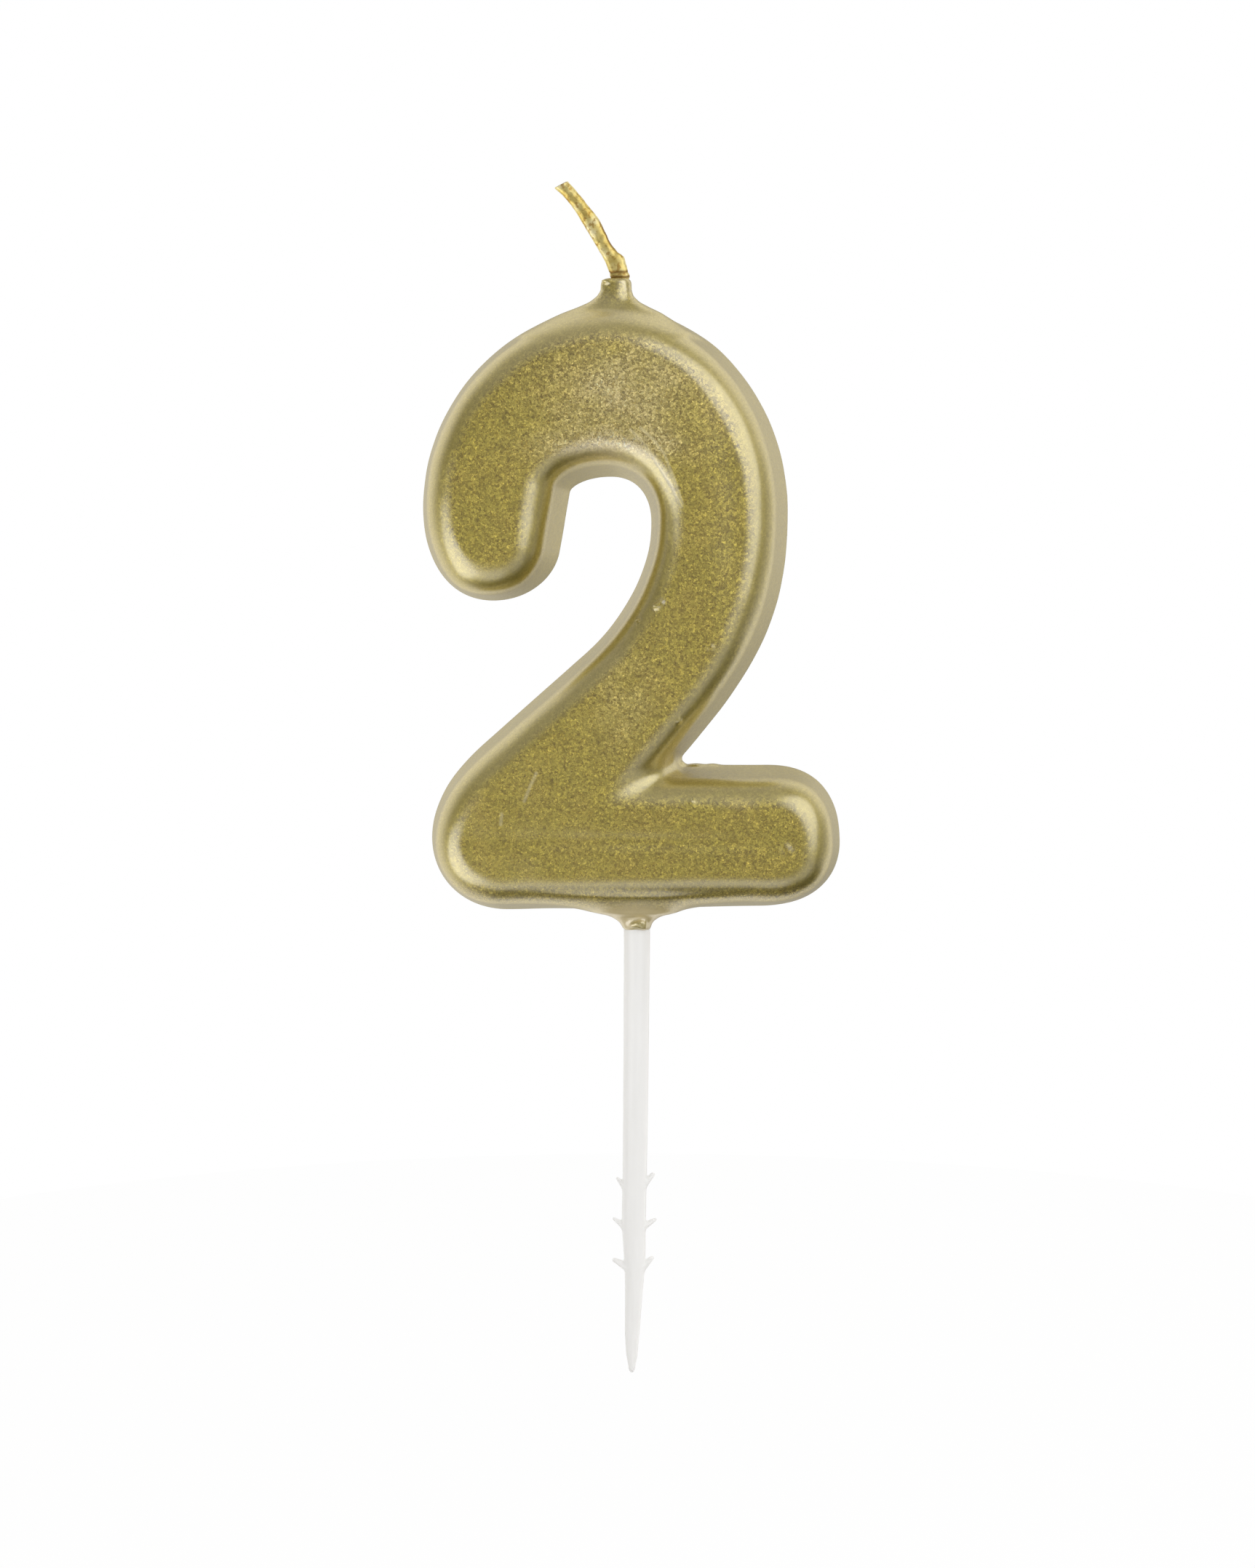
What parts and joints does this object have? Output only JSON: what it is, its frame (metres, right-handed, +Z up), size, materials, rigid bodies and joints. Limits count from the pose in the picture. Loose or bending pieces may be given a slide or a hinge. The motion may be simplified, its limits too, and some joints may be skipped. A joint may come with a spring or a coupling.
{
  "type": "number candle",
  "caption": "Birthday candle moulded as a wax numeral two under satin gold, with a bent wick on its crown and a barbed white pick that pushes into a cake.",
  "frame": {"origin": "on the pick's axis at the lower end of the gold neck, which is level with the cake's top when the candle is pushed home", "axes": "+Z up along the numeral, +X to the right seen from the front, +Y towards the flat back"},
  "size_m": [0.0486, 0.01, 0.1385],
  "materials": {
    "paraffin_wax": "plain pale paraffin wax, slightly translucent, hidden under the coat",
    "gold_lacquer": "satin metallic gold with a fine sparkling flake, smoother on the rounded edges",
    "gold_braid": "flat cotton braid stiffened with gold lacquer, with brown flecks",
    "white_plastic": "white moulded plastic, slightly translucent, soft gloss"
  },
  "bodies": {
    "root": {"wax_core": "paraffin_wax", "gold_coat": "gold_lacquer", "wick": "gold_braid", "pick": "white_plastic"}
  },
  "joints": []
}
